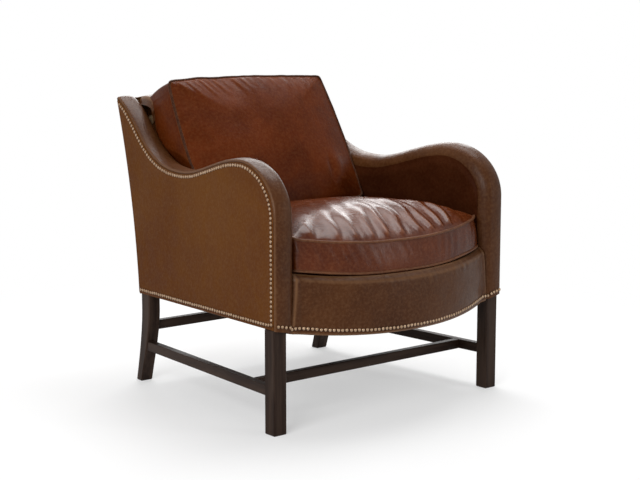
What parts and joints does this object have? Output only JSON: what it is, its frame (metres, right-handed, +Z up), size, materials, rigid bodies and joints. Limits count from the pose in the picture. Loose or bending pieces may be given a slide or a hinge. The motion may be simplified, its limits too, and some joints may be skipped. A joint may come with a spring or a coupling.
{
  "type": "club chair",
  "caption": "Low leather club chair with S-curved rolled arms, a bowed front, loose crowned seat and back cushions, and square dark wood legs joined by stretchers.",
  "frame": {"origin": "on the floor, under the middle of the chair's overall box", "axes": "+Z up, +Y towards the back of the chair, +X to the right of someone who faces its front"},
  "size_m": [0.76, 0.8546, 0.8259],
  "materials": {
    "body_leather": "pull-up leather, darkened, soft gloss",
    "outside_leather": "olive brown leather, mottled, satin",
    "cushion_leather": "red-brown leather, creased, glossy, worn pale on folds",
    "welt_leather": "piping, soft gloss",
    "leg_wood": "espresso stain, satin",
    "frame_wood": "bare hardwood",
    "spring_steel": "oiled wire",
    "deck_felt": "felted cotton",
    "dust_cloth": "thin black cloth"
  },
  "bodies": {
    "root": {"arm_frame_left": "frame_wood", "arm_frame_right": "frame_wood", "arm_roll_left": "body_leather", "arm_roll_right": "body_leather", "back_cushion": "cushion_leather", "back_cushion_front_welt": "welt_leather", "back_cushion_rear_welt": "welt_leather", "back_leg_left": "leg_wood", "back_leg_right": "leg_wood", "back_mid_rail": "frame_wood", "back_rail": "frame_wood", "back_stretcher": "leg_wood", "crest_rail": "frame_wood", "cross_stretcher": "leg_wood", "dust_cover": "dust_cloth", "front_border": "body_leather", "front_corner_block_left": "frame_wood", "front_corner_block_right": "frame_wood", "front_leg_left": "leg_wood", "front_leg_right": "leg_wood", "front_rail": "frame_wood", "inside_arm_pad_left": "body_leather", "inside_arm_pad_right": "body_leather", "inside_back_pad": "body_leather", "outside_arm_panel_left": "outside_leather", "outside_arm_panel_right": "outside_leather", "outside_back_panel": "outside_leather", "rear_corner_block_left": "frame_wood", "rear_corner_block_right": "frame_wood", "seat_cushion": "cushion_leather", "seat_cushion_bottom_welt": "welt_leather", "seat_cushion_top_welt": "welt_leather", "seat_deck_pad": "deck_felt", "seat_spring_1": "spring_steel", "seat_spring_2": "spring_steel", "seat_spring_3": "spring_steel", "seat_spring_4": "spring_steel", "side_rail_left": "frame_wood", "side_rail_right": "frame_wood", "side_stretcher_left": "leg_wood", "side_stretcher_right": "leg_wood"}
  },
  "joints": []
}
